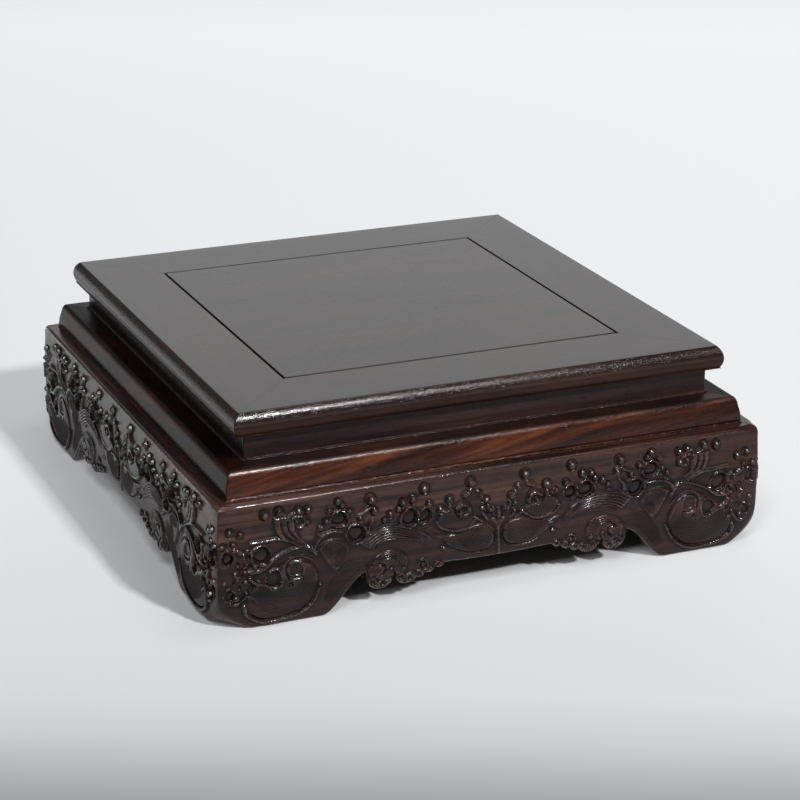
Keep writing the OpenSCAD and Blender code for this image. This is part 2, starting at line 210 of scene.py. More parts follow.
CREST = through([(-116, 30), (-110, 32.5), (-104, 33.8), (-99, 33.8), (-90, 34.2), (-83, 31), (-77.5, 28.2),
                 (-74, 30.4), (-69, 33), (-62, 33.5), (-56, 30.5), (-53, 30), (-45, 31.6), (-37, 30.4),
                 (-31, 28.6), (-26, 29.6), (-23, 27.6), (-15, 26.4), (-11, 28.3), (-7, 27.6), (-3, 27.5),
                 (0, 26.5), (3, 27)])
BEADS = np.array([(-94.5, 43.6, 1.75), (-88.9, 43.9, 1.9), (-81.3, 43.4, 1.6), (-77.8, 43, 1.5),
                  (-108.4, 38.8, 1.5), (-104.3, 37.2, 1.5), (-111.2, 33.6, 1.3), (-107.3, 34, 1.2),
                  (-78.2, 38.6, 1.3), (-65.6, 44.4, 1.5), (-64, 42.6, 1.3), (-69.2, 41.6, 1.5),
                  (-70.6, 37.4, 1.2), (-72.6, 35.2, 1.2), (-60.8, 40, 1.3), (-52.3, 43.2, 1.95),
                  (-51, 38.6, 1.4), (-57, 36.5, 1.2), (-30.9, 44.2, 2.0), (-35.6, 40.6, 1.7),
                  (-39.5, 40, 1.5), (-41.2, 37.6, 1.3), (-28.7, 37.6, 1.4), (-24.2, 34.8, 1.5),
                  (-20.6, 38.4, 1.75), (-11.4, 43.8, 1.95), (-8.1, 39.2, 1.1), (-5.3, 35.8, 1.5),
                  (-6.8, 33, 1.1), (-3.7, 31.4, 1.0), (-44.6, 36.2, 1.4), (-46.8, 34, 1.3),
                  (-104.6, 30.8, 1.4), (-102.2, 22.2, 1.2), (-110.6, 19.4, 1.3), (-106.4, 12.4, 1.5),
                  (-102.4, 18.6, 1.2), (-44.6, 14.6, 1.2), (-39.8, 13.6, 1.3), (-23, 19.2, 1.1),
                  (-31.2, 13.8, 1.2)])


def crest_height(x):
    """Height of the line of crests, above which the ground is left plain."""
    return np.interp(-np.abs(x), CREST[:, 0], CREST[:, 1])


def waves(x, z):
    """Relief of one face: the sea below the crest line stands a little proud, and
    scrolls, plumes, shells and rings rise from it."""
    f = Relief(x, z)
    f.h += 0.75 * ease((crest_height(f.x) - z + 0.5) / 1.4)
    scroll = [(-103.6, 8.5), (-101.5, 4), (-95, 1.2), (-87, 1.0), (-80.5, 2.8), (-75.5, 7), (-72.6, 13),
              (-72.6, 18.8), (-75, 24.2), (-79.4, 27.2), (-84.5, 27), (-89.5, 24.5), (-93, 21.5), (-98, 20),
              (-102, 16)]
    f.swell(scroll, 0.95, 2.2, 0.5)
    f.whorl(scroll, -85.6, 20, 0.92, 0.8, 0, 1.0, 5.4, 17.2,
            lambda a: ease((a + 172) / 16) * ease((-18 - a) / 22) * (a < 0))
    f.cut(through([(-79.6, 18), (-82, 17.4), (-85.4, 18), (-86.6, 20.8), (-85.4, 23.6), (-82, 25),
                   (-78.4, 23.8), (-75.4, 20.8), (-73.8, 16.4), (-73.9, 12.4), (-76.2, 7.4), (-81, 3.8),
                   (-87, 2.2), (-94.6, 2.3), (-99.8, 4.2), (-102.8, 7.6), (-103, 9.6)]), 0.42, 0.75, 0.02)
    f.ridge([(-103, 8.6), (-101.6, 5), (-95.4, 1.7), (-87.2, 1.5), (-80.6, 3.1), (-75.8, 7.2), (-73, 13)],
            0.7, 0.45, 1.1, 0.45)
    f.sink([(-86, 21), (-84.6, 23.4), (-81.8, 23.8), (-79.8, 21.6), (-80.2, 18.8), (-82.6, 18),
            (-85, 18.8)], 0.45, 0.9)
    f.pit(-84.8, 15.1, 1.0, 0.7)
    f.ridge([(-101.5, 12.6), (-99.6, 11.6), (-98.4, 10.2)], 0.6, 0.5, 1.0, 0.5)
    f.ridge([(-101, 22.4), (-97, 22.4), (-94.4, 23.2), (-92, 25.2), (-89, 27.2), (-85, 28.8),
             (-81.6, 29.6)], 0.9, 0.6, 0.75, 0.75)
    f.ridge([(-100.2, 33.4), (-95, 33.6), (-89.8, 33.9), (-86, 32.6), (-82, 30.6)], 0.8, 0.6, 0.55, 0.7)
    # plume of the hooked wave above the foot
    f.swell([(-91, 42), (-90.6, 37.6), (-88.4, 33.6), (-84, 31), (-78, 28), (-74.8, 24.6), (-74.2, 27),
             (-77, 29.4), (-80.6, 32.4), (-82.6, 36), (-83, 39.6), (-84.6, 41.6), (-88, 42.8)], 1.35, 1.0)
    f.cut(through([(-88.6, 41.5), (-88.2, 38), (-86.4, 34.6), (-82.4, 31.6), (-77.4, 28.6)]), 0.35, 0.6)
    f.cut(through([(-86, 41.4), (-85.8, 38.4), (-84.6, 35.4), (-81.4, 32), (-77, 28.8)]), 0.35, 0.6)
    f.ridge([(-84.6, 40.2), (-82.4, 41.2), (-79.8, 40.6), (-78.8, 38.6), (-80, 36.8), (-81.8, 37.2),
             (-81.8, 38.8)], 0.8, 0.5, 0.0, 1.2)
    f.ridge([(-85.6, 41.6), (-83.4, 42.4), (-80.6, 42.2)], 0.7, 0.5, 0.2, 1.0)
    f.hatch([(-73, 3), (-70.8, 9.2), (-68.6, 14), (-63, 19.8), (-55, 23.6)],
            [(-70.2, 2.6), (-65, 8.6), (-60.4, 13.2), (-57.4, 15.2), (-52, 18.4)], 8, 1.0, 0.2)
    # second crest: a hollowed drop under a rim
    f.swell([(-74.6, 27.6), (-72.4, 29.4), (-69, 30.4), (-65, 29.8), (-61.8, 27.6), (-60.8, 24.4),
             (-62.6, 20.6), (-66.6, 16.6), (-68.6, 17.8), (-71, 21)], 1.15, 1.6, 0.2)
    f.hatch([(-73.4, 25.4), (-71, 28.8), (-67.4, 29.8), (-63, 28.4), (-61.4, 24.8), (-63, 20.6),
             (-66.6, 17.2)], [(-68.4, 24.2), (-67.8, 24.8), (-67, 24.8), (-66.6, 24.4), (-66.6, 23.6),
                              (-66.8, 23), (-67.4, 22.6)], 7, 1.0, 0.05)
    f.ridge([(-75.8, 27.6), (-74.4, 30.2), (-71.6, 32.2), (-68, 33), (-64, 32.4)], 0.85, 0.6, 0.7, 0.7)
    f.ridge([(-72.6, 31.6), (-73.6, 33.6), (-73, 35.4)], 0.7, 0.6, 0.2, 0.9)
    # great arching wave with its gouge lines
    f.swell([(-57.5, 27), (-53, 30.2), (-45, 32), (-37, 30.6), (-31, 27.4), (-26.6, 22.6), (-22.6, 19.6),
             (-23.4, 18.2), (-28, 20), (-33, 23.2), (-40, 25.2), (-47, 25.2), (-52, 23)], 1.35, 1.0)
    f.lines([(-56.4, 26.8), (-50.6, 30), (-44.6, 31), (-37.6, 29.6), (-31.2, 26), (-26.2, 21.6),
             (-23.2, 19.6)], [(-53.4, 22.6), (-48.6, 25.6), (-43.6, 26.4), (-38, 25.6), (-32.4, 23.2),
                              (-27.6, 20.2), (-23.8, 18.8)], 5, 0.3, 0.5, 0.06)
    # rolled wave that hangs below it, with curls along the lobes
    f.swell([(-54.6, 16), (-52.4, 19.6), (-48, 22), (-43, 22), (-39, 19.6), (-37.6, 16), (-38.4, 12),
             (-42, 9.6), (-47, 7.4), (-52, 9)], 1.3, 1.6, 0.2)
    f.lines([(-53.6, 17), (-51, 20), (-47, 21.6), (-42.6, 21), (-39.4, 18), (-38.8, 14.4)], [(-51, 16),
                                                                                             (-49.4, 18),
                                                                                             (-46.6, 19),
                                                                                             (-43.4, 18.6),
                                                                                             (-41.6, 16.6),
                                                                                             (-41.4, 14.8)],
            4, 0.28, 0.4, 0.1)
    f.cut(through([(-51.6, 15.6), (-49.6, 17.2), (-47.4, 16.6), (-47, 14.8), (-48.4, 13.2), (-50, 12.6)]),
          0.4, 0.8, 0.1)
    f.cut(through([(-52.6, 13.6), (-49, 10.6), (-44.4, 11), (-41, 11.6)]), 0.4, 0.6, 0.1)
    for cx, cz, r in ((-51.9, 10.4, 2.2), (-48, 8.8, 2.2), (-40.8, 9.6, 2.2), (-36.6, 9.4, 2.2),
                      (-33, 10.6, 1.9), (-29.2, 12, 1.8), (-25.2, 13.2, 1.6)):
        f.ring(cx, cz, r, r, 1.25, 0.7, 0.34)
    f.ring(-31.2, 13.8, 2.5, 2.7, 1.2, -0.1, 0.28)
    # foam rings and hooks
    for cx, cz, rx, rz, top, dish in ((-109.8, 28.6, 3.1, 3.7, 1.4, -0.7), (-96.3, 28, 4.4, 4.4, 1.4, -0.7),
                                      (-91.4, 18, 3.8, 3.8, 1.6, -0.2), (-103.6, 23, 2.2, 2.3, 1.3, -0.5),
                                      (-108.6, 14, 2.7, 2.9, 1.3, -0.5), (-65.3, 37.8, 3.9, 3.9, 1.4, -0.8),
                                      (-58.8, 30.8, 4.3, 4.3, 1.5, -0.7),
                                      (-69.2, 41.6, 1.7, 1.7, 1.2, -0.3), (-37, 34, 4.2, 4.0, 1.5, -0.7),
                                      (-30.5, 33.7, 3.3, 3.4, 1.4, -0.7)):
        f.ring(cx, cz, rx, rz, top, dish)
    f.ridge([(-106.4, 31.6), (-103.4, 29.6), (-101.8, 26.4), (-103, 24.6)], 1.2, 0.9, 0.3, 0.9)
    f.ridge([(-101, 20), (-98.6, 17.8), (-95, 16.4), (-93.4, 15.6)], 0.9, 0.7, 0.9, 0.8)
    f.ridge([(-108, 11), (-105.6, 10), (-103.2, 12.4), (-102.4, 14.4)], 0.8, 0.6, 0.6, 0.8)
    for hook in ([(-101.6, 30.6), (-99.9, 29.4), (-100.3, 27.6)], [(-99.2, 25.6), (-98.6, 23.6),
                                                                   (-99.8, 22.6)], [(-106.6, 22.6),
                                                                                    (-105.6, 20.6),
                                                                                    (-106.8, 18.8)],
                 [(-99.6, 18.4), (-98.2, 16.6), (-99.2, 14.8)]):
        f.ridge(hook, 0.8, 0.6, 0.5, 0.9)
    for px, pz, r in ((-101.4, 28.2, 1.2), (-100.6, 24.6, 1.0), (-105.6, 26, 1.2), (-100.4, 16.4, 1.1),
                      (-105.2, 16.6, 1.2)):
        f.pit(px, pz, r, 1.1)
    f.ridge([(-57.6, 37.6), (-55.4, 38.6), (-53, 39.8), (-51, 39.6), (-50.2, 37.6)], 1.0, 0.8, 0.0, 1.2)
    f.ridge([(-55.6, 27.4), (-54, 30), (-53.6, 33.2), (-52, 35.2)], 0.9, 0.7, 0.3, 0.9)
    # bowl of spray with its hook, and the plain tongue beside it
    f.swell([(-25.8, 30.6), (-24.6, 33.6), (-22.2, 34.4), (-19.4, 33.6), (-16.6, 31.2), (-13.4, 31.6),
             (-10.6, 30.6), (-11.8, 27.8), (-15, 26), (-19.6, 26.2), (-23.8, 27.8)], 1.3, 1.2, 0.2)
    f.ridge([(-25.8, 29.4), (-23.6, 27.4), (-19.6, 26), (-15, 25.8), (-11.8, 27.6), (-9.8, 29.6)], 0.7, 0.8,
            0.75, 0.85)
    f.ridge([(-20.6, 37), (-20.4, 34.6), (-19.6, 32.6)], 1.0, 1.2, 0.3, 1.0)
    f.ridge([(-18, 34.6), (-15.6, 35.8), (-13.2, 35), (-12.6, 32.8), (-14.4, 31.2), (-16.2, 31.8),
             (-16, 33.4)], 0.9, 0.6, 0.5, 1.1)
    f.swell([(-14, 39), (-12.4, 40.4), (-9.8, 40.4), (-8, 37.6), (-6.8, 34), (-6.6, 30.6), (-9.4, 29.6),
             (-10.8, 33), (-12, 36.2)], 0.75, 0.9)
    f.ridge([(-14.4, 39.2), (-12.6, 40), (-11.6, 41.8)], 1.1, 0.9, 0.2, 1.2)
    f.ridge([(-8.6, 39.6), (-7.2, 37.6), (-5.6, 35.8)], 0.9, 0.8, 0.2, 0.9)
    for p, q in (((-6.6, 34.6), (-5.2, 31.2)), ((-4.6, 34), (-3.6, 30.6)), ((-2.6, 32.2), (-1.8, 29.2)),
                 ((0, 31.4), (0, 28)), ((-6.4, 30.2), (-4.6, 27.6)), ((-9.2, 29.4), (-6.6, 27))):
        f.ridge([p, ((p[0] + q[0]) / 2 - 0.2, (p[1] + q[1]) / 2), q], 0.85, 0.4, 0.45, 0.9)
    # shell-like waves either side of the middle, parted by a stem
    shell = [(-30.4, 27), (-24, 25), (-17.4, 24.6), (-11, 26.6), (-5.4, 26.4), (-1.8, 24), (-0.9, 19.6),
             (-2.8, 16.2), (-8.6, 14.6), (-15, 15.4), (-19.8, 18.2), (-23.6, 22.4)]
    f.swell(shell, 1.15, 1.1, 0.35)
    f.whorl(shell, -6.6, 25.4, 0.86, 0.85, 9.4, 1.0, 1.2, 10.6, lambda a: a < 14)
    f.cut(through([(-22.6, 21.2), (-19.4, 18.6), (-14.8, 16.4), (-8.6, 15.6), (-3.6, 16.8), (-1.8, 20),
                   (-2.4, 23.6)]), 0.36, 0.6, 0.06)
    f.lines([(-30.6, 27), (-24.6, 25.2), (-19, 23.6)], [(-28, 24.6), (-24.4, 22.4), (-20.4, 19.6)], 4, 0.3,
            0.3, 0.2)
    f.ridge([(0, 13.4), (0, 19), (-0.2, 24.6), (-2.2, 27.4)], 0.8, 0.7, 0.55, 0.5)
    for bx, bz, r in BEADS:
        d = np.hypot(f.x - bx, f.z - bz)
        f.h -= 0.3 * np.exp(-((d - 1.05 * r) / 0.45) ** 2)
    return np.interp(f.h, (-1, 0, 0.3, 0.75, 1.1, 1.4, 2),
                     (-1.5, 0, 0.12, 0.25, 0.9, 1.3, 1.55)), f.passed, f.deep


def turned(points, n):
    """Turns points built at the front by n quarter turns about Z."""
    p = np.asarray(points, float).copy()
    for _ in range(n):
        p[..., 0], p[..., 1] = -p[..., 1].copy(), p[..., 0].copy()
    return p


def mark_points(mesh, name, marks):
    """Keeps four numbers for each point of a mesh as a colour attribute."""
    layer = mesh.color_attributes.new(name, "FLOAT_COLOR", "POINT")
    layer.data.foreach_set("color", np.asarray(marks, np.float32).ravel())


def add_mesh(name, points, faces, marks):
    """Puts points in millimetres, faces and marks into a mesh. Faces are shaded smooth,
    except the flat ones of many corners that close an end."""
    mesh = bpy.data.meshes.new(name)
    mesh.from_pydata((np.asarray(points).reshape(-1, 3) * 0.001).tolist(), [], faces)
    corners = np.zeros(len(mesh.polygons), np.int32)
    mesh.polygons.foreach_get("loop_total", corners)
    mesh.polygons.foreach_set("use_smooth", corners < 5)
    mark_points(mesh, "carving", marks)
    mesh.update()
    piece = bpy.data.objects.new(name, mesh)
    bpy.context.collection.objects.link(piece)
    return piece


def tube_faces(rows, cols):
    """Quads of a grid whose rows close round, with one flat face over each end."""
    r, c = np.meshgrid(np.arange(rows), np.arange(cols - 1), indexing="ij")
    a, b = r * cols + c, ((r + 1) % rows) * cols + c
    quads = np.stack([a, a + 1, b + 1, b], -1).reshape(-1, 4).tolist()
    first = (np.arange(rows) * cols).tolist()
    last = (np.arange(rows) * cols + cols - 1).tolist()[::-1]
    return quads + [first, last]


def drift(x, z, seed, size, amount):
    """Slow sideways wander of a hand-cut line: a few crossed sine waves."""
    g = np.random.default_rng(seed)
    out = np.zeros_like(x)
    for _ in range(4):
        fx, fz = g.uniform(0.4, 1.2, 2) * 2 * np.pi / size
        out += np.sin(fx * x + fz * z * g.choice([-1, 1]) + g.uniform(0, 6.28))
    return amount * out / 2


def blurred(a, step=1):
    """Mean of each point of a grid and its neighbours, along the rows and then across."""
    a = (a + np.roll(a, step, 1) + np.roll(a, -step, 1)) / 3
    a[1:-1] = (a[2:] + a[:-2] + a[1:-1]) / 3
    return a


def rounded(d, r):
    """Share of a quarter round of radius r that is cut away at distance d from the edge."""
    return 1 - np.sqrt(1 - np.clip(1 - d / r, 0, 1) ** 2)


def from_lower_edge(x, z, x0, low):
    """Distance of the points of a face from its lower edge, near enough to round it."""
    far = 9.0
    near = np.full(z.shape, far)
    for k in range(-12, 13):
        ex, ez = np.roll(x0[0], k), np.roll(low[0], k)
        near = np.minimum(near, np.hypot(x - ex, z - ez) + far * (np.abs(x - ex) > 8))
    return np.minimum(near, z - low)


def soft_min(a, b, k):
    """The lesser of two lengths, blended over about k: minus k times the logarithm of
    the sum of both exponentials, shifted to stay in range."""
    shift = 140
    return -np.log(np.exp(-a / k + shift) + np.exp(-b / k + shift)) * k + shift * k


def apron_board(side):
    """The section goes up the carved front, over the top, down the back and along the
    underside; it is carried from mitre to mitre, and the outer corner of each foot
    is limited by a cylinder across its diagonal. The rows of the top, the back and the
    underside run straight between the feet and draw in to the mitre within them."""
    cols, belt_h, gather_from = 581, 6, 80
    u = np.linspace(-1, 1, cols)[None, :]
    x0 = u * FACE
    low, belt = lower_edge(x0), plain_edge(x0) + belt_h
    up = np.linspace(0, 1, 40, endpoint=False)[:, None]
    over = np.concatenate([np.linspace(0, 0.86, 94, endpoint=False),
                           np.linspace(0.86, 0.93, 5, endpoint=False),
                           np.linspace(0.93, 1, 9)])[:, None]
    z = np.vstack([low + (belt - low) * up, belt + (APRON_TOP - belt) * over])
    x = np.broadcast_to(x0, z.shape)

    # the drawing wanders from board to board; the ground is stained where it is worked,
    # and on the front it is also painted darker as shade, more and more towards the right
    wx = x + drift(x, z, 11 + side, 26, 0.3) + (FRONT_SHIFT if side == 0 else 0)
    wz = z + drift(x, z, 31 + side, 24, 0.25) - DRAWING_LIFT
    h, passed, deep = (a.reshape(z.shape) for a in waves(wx.ravel(), wz.ravel()))
    h += drift(x, z, 51 + side, 9, 0.04)
    stain_and_shade = np.maximum(np.abs(h) > 0.12, wz < crest_height(wx)).astype(float)
    for _ in range(6):
        stain_and_shade = blurred(stain_and_shade, 2)
    # painted shade: the front board is darkened more and more towards the right
    if side == 0:
        stain_and_shade = np.maximum(stain_and_shade, 0.9 * ease((x0 + 50) / 150))

    # the carving dies out under the top edge; the lower edge, the top edge and, more, the
    # upper corners are rounded; then hollows, which are painted darker as shade, and crowns,
    # which are painted paler as rubbed wear and painted highlight, are told from the blurred face
    h = h * ease((APRON_TOP - z) / 2.0) - 0.6 * ease((z - 34) / 12)
    h -= 1.1 * rounded(from_lower_edge(x, z, x0, low), 1.3)
    corner = ease((np.abs(u) - 0.92) / 0.08)
    h -= (1 + 1.4 * corner) * rounded(APRON_TOP - z, 1.4 + 2.2 * corner)
    smooth, relief_shade_and_wear = h.copy(), np.full(h.shape, 0.5)
    for passes, gain in ((5, 1.1), (25, 0.45)):
        for _ in range(passes):
            smooth = blurred(smooth)
        relief_shade_and_wear += (h - smooth) * gain

    # the toe of each foot, and the rows over the top, down the back and underneath
    w = ease((np.abs(u) - 0.86) / 0.14)
    toe = np.sqrt(TOE_R ** 2 - np.clip(TOE_H - z, 0, TOE_H) ** 2)
    reach = np.sqrt(2) * (FACE * np.sqrt(2) - TOE_R + toe)
    s = soft_min(FACE + h, (reach - np.abs(x) + FACE * w) / (1 + w), 0.8)
    rest_z = ([np.full_like(x0, APRON_TOP)] * 2
              + [APRON_TOP + (low - APRON_TOP) * t for t in (0, 0.5, 1)] + [low] * 4)
    rest_s = ([s[-1:] + (APRON_BACK - s[-1:]) * t for t in (0.05, 0.6)]
              + [np.full_like(x0, APRON_BACK)] * 3
              + [APRON_BACK + (s[:1] - APRON_BACK) * t for t in (0.05, 0.4, 0.8, 0.97)])
    rows, rest = len(z), len(rest_s)
    s, z = np.vstack([s] + rest_s), np.vstack([z] + rest_z)
    inner = np.clip((np.abs(x0) - gather_from) / (FACE - gather_from), 0, 1)
    pull = np.vstack([np.repeat(w, rows, 0), np.repeat(inner, rest, 0)])
    xx = x0 + np.sign(u) * (s - MITRE_GAP - FACE) * pull

    # tooling; painted shade in hollows to paler crowns (rubbed wear and painted highlight);
    # stain, and on the front painted shade towards the right; gouge lines passed and how deep they are
    marks, gouges = np.full((*s.shape, 4), (0.4, 0.5, 0, 1)), np.zeros((*s.shape, 4))
    marks[:rows, :, 1], marks[:rows, :, 2] = np.clip(relief_shade_and_wear, 0, 1), stain_and_shade
    gouges[:rows, :, 0], gouges[:rows, :, 1] = passed, deep
    board = add_mesh("carved_apron_" + SIDES[side], turned(np.stack([xx, -s, z], -1), side),
                     tube_faces(*s.shape), marks)
    mark_points(board.data, "gouges", gouges)
    return board


class Tree:
    """Adds nodes to one material or world. A value is a number or the socket that
    gives it."""

    def __init__(self, owner):
        owner.use_nodes = True
        self.nodes, self.link = owner.node_tree.nodes, owner.node_tree.links.new

    def feed(self, socket, value):
        """Links a socket to a value, or sets the number."""
        if hasattr(value, "is_linked"):
            self.link(value, socket)
        else:
            socket.default_value = value

    def math(self, kind, *values):
        """One step of sums."""
        step = self.nodes.new("ShaderNodeMath")
        step.operation = kind
        for socket, value in zip(step.inputs, values):
            self.feed(socket, value)
        return step.outputs[0]

    def remap(self, value, a, b, lo=0.0, hi=1.0):
        """Takes the range a to b to the range lo to hi, held at its ends."""
        step = self.nodes.new("ShaderNodeMapRange")
        for key, v in (("Value", value), ("From Min", a), ("From Max", b), ("To Min", lo), ("To Max", hi)):
            self.feed(step.inputs[key], v)
        return step.outputs["Result"]

    def blend(self, a, b, share):
        """Mixes two numbers."""
        step = self.nodes.new("ShaderNodeMix")
        for k, value in ((0, share), (2, a), (3, b)):
            self.feed(step.inputs[k], value)
        return step.outputs[0]

    def tint(self, color, share, dark):
        """Multiplies a share of a colour by another colour."""
        step = self.nodes.new("ShaderNodeMix")
        step.data_type, step.blend_type = "RGBA", "MULTIPLY"
        for k, value in ((0, share), (6, color), (7, (*dark, 1))):
            self.feed(step.inputs[k], value)
        return step.outputs[2]

    def ramp(self, value, stops):
        """Colours by position; the first two stops are those a new ramp has."""
        step = self.nodes.new("ShaderNodeValToRGB")
        self.link(value, step.inputs["Fac"])
        marks = step.color_ramp.elements
        for k, (at, color) in enumerate(stops):
            stop = marks[k] if k < 2 else marks.new(at)
            stop.position, stop.color = at, (*color, 1)
        return step.outputs["Color"]

    def mapped(self, vector, **settings):
        """Moves, turns or stretches coordinates."""
        step = self.nodes.new("ShaderNodeMapping")
        self.link(vector, step.inputs["Vector"])
        for key, value in settings.items():
            step.inputs[key].default_value = value
        return step.outputs["Vector"]

    def coordinates(self, kind):
        """Coordinates of the object, or of the world about it."""
        return self.nodes.new("ShaderNodeTexCoord").outputs[kind]

    def axes(self, vector):
        """The outputs X, Y and Z of a vector."""
        step = self.nodes.new("ShaderNodeSeparateXYZ")
        self.link(vector, step.inputs["Vector"])
        return step.outputs

    def noise(self, place, scale, detail, rough, distort=0.0):
        """Noise over coordinates stretched by a scale for each axis."""
        step = self.nodes.new("ShaderNodeTexNoise")
        self.link(self.mapped(place, Scale=scale), step.inputs["Vector"])
        for key, v in (("Scale", 1.0), ("Detail", detail), ("Roughness", rough), ("Distortion", distort)):
            step.inputs[key].default_value = v
        return step.outputs["Fac"]

    def marks(self, name):
        """Red, green and blue of a colour attribute."""
        layer, split = self.nodes.new("ShaderNodeVertexColor"), self.nodes.new("ShaderNodeSeparateColor")
        layer.layer_name = name
        self.link(layer.outputs["Color"], split.inputs["Color"])
        return [split.outputs[key] for key in ("Red", "Green", "Blue")]

    def bump(self, height, strength, under=None):
        """Normals dented by a height, over those of another dent."""
        step = self.nodes.new("ShaderNodeBump")
        step.inputs["Distance"].default_value = DENT_DEPTH
        self.link(height, step.inputs["Height"])
        self.feed(step.inputs["Strength"], strength)
        if under:
            self.link(under, step.inputs["Normal"])
        return step.outputs["Normal"]


DENT_DEPTH = 0.00012
# Tints of painted light and shade besides the pores: the hollow tint darkens hollows, grooves and recesses as
# painted shade, the crown tint makes crowns paler as wear and painted highlight, the groove tint darkens gouge
# lines as painted shade, and the stain tint darkens stained ground and, on the front, a painted shade towards
# the right.
PORE_TINT, PIT_TINT, STAIN_AND_SHADE_TINT = (0.4, 0.36, 0.34), (0.6, 0.5, 0.48), (0.34, 0.245, 0.23)
HOLLOW_SHADE_TINT, CROWN_WEAR_AND_HIGHLIGHT_TINT, GROOVE_SHADE_TINT = (0.2, 0.17, 0.17), (1.3, 1.2, 1.18), (0.1, 0.08, 0.08)


def grain_wood(name, along, browns, gloss, seed, ior=1.2, figure=1.0, spread=0.15, slant=0.0,
               marked=True, gouged=False):
    """Lacquered dark hardwood: long streaks and a slower figure stretched along the
    grain mix three browns; short open pores darken and dent the surface. The marks of
    a piece, where it has them, say where it is tooled, which deepens the dents; where
    a hollow, groove or recess is painted darker as shade; where a crown is painted paler,
    as rubbed wear and painted highlight; and where the ground is stained or painted
    darker as shade. Gouge lines are a cosine of the count of lines passed, times their
    depth, and their grooves are painted darker as shade; the sharpest crowns of a gouged
    piece have specks of brighter polish."""
    deep, mid, pale = browns
    wood = bpy.data.materials.new(name)
    t = Tree(wood)
    bsdf = t.nodes["Principled BSDF"].inputs
    place = t.mapped(t.coordinates("Object"), Location=(0.37 * seed, 0.19 * seed, 0.11 * seed),
                     Rotation=(slant, 0, math.pi / 2) if along == "Y" else (0, slant, 0))
    streak = t.noise(place, (14, 330, 330), 5, 0.6, 0.3)
    fibre = t.noise(place, (120, 2200, 2200), 2, 0.6)
    slow = t.noise(place, (5, 70 * figure, 70 * figure), 3, 0.55, 1.2)
    pore = t.remap(t.noise(place, (260, 2600, 2600), 1, 0.5), 0.6, 0.7)
    tooled, height, stain_and_shade = t.marks("carving") if marked else (0.3, 0.5, 0.0)
    # share of painted shade, taken from the low values of the shade mark
    hollow = t.remap(height, 0.49, 0.2)
    pits = t.math("MULTIPLY", t.remap(t.noise(place, (1100, 1900, 1900), 2, 0.7), 0.53, 0.59), tooled)

    color = t.ramp(t.blend(slow, streak, 0.55), ((0.5 - spread, deep), (0.5 + spread, pale), (0.5, mid)))
    # pores and pits are the wood's own; then stain with painted shade, painted shade in hollows, and crowns
    # paler as wear and painted highlight
    for share, dark in ((pore, PORE_TINT), (pits, PIT_TINT), (stain_and_shade, STAIN_AND_SHADE_TINT), (hollow, HOLLOW_SHADE_TINT),
                        (t.remap(height, 0.55, 0.9), CROWN_WEAR_AND_HIGHLIGHT_TINT)):
        color = t.tint(color, share, dark)
    rough = t.remap(t.blend(streak, pore, 0.35), 0.2, 0.8, gloss - 0.05, gloss + 0.1)
    rough = t.math("ADD", rough, t.remap(hollow, 0, 1, 0, 0.35))
    rough = t.math("ADD", rough, t.remap(pits, 0, 1, 0, 0.12))
    grain = t.blend(t.blend(fibre, pore, 0.3), pits, 0.08)
    dent = normal = t.bump(t.remap(grain, 0, 1, 1, 0), t.remap(tooled, 0, 1, 0.04, 0.7))

    if gouged:
        passed, lined, _ = t.marks("gouges")
        wave = t.math("MULTIPLY", t.math("COSINE", t.math("MULTIPLY", passed, 2 * math.pi)), lined)
        normal = t.bump(wave, 1.0, dent)
        rough = t.math("ADD", rough, t.math("MULTIPLY", lined, 0.45))
        # painted shade darkens the gouge lines
        color = t.tint(color, t.remap(wave, 0.3, -0.6), GROOVE_SHADE_TINT)
        specks = t.remap(t.noise(place, (1000, 1300, 1300), 2, 0.7), 0.46, 0.56, 0.05, 1)
        t.link(t.math("MULTIPLY", t.remap(height, 0.66, 0.86), specks), bsdf["Coat Weight"])
        t.link(dent, bsdf["Coat Normal"])
        bsdf["Coat Roughness"].default_value = 0.15
        bsdf["Coat IOR"].default_value = 1.6
    t.link(color, bsdf["Base Color"])
    t.link(rough, bsdf["Roughness"])
    t.link(normal, bsdf["Normal"])
    bsdf["IOR"].default_value = ior
    return wood


APRON_BROWNS = ((0.024, 0.012, 0.01), (0.082, 0.038, 0.0305), (0.165, 0.076, 0.054))
apron_wood = {a: grain_wood("apron_wood_" + a.lower(), a, APRON_BROWNS, 0.22, 3, 1.37, 1.0, 0.1, gouged=True)
              for a in "XY"}
for n, side in enumerate(SIDES):
    board = apron_board(n)
    board.data.materials.append(apron_wood["XY"[n % 2]])
    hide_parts("apron_" + side)
    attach(board, "root")


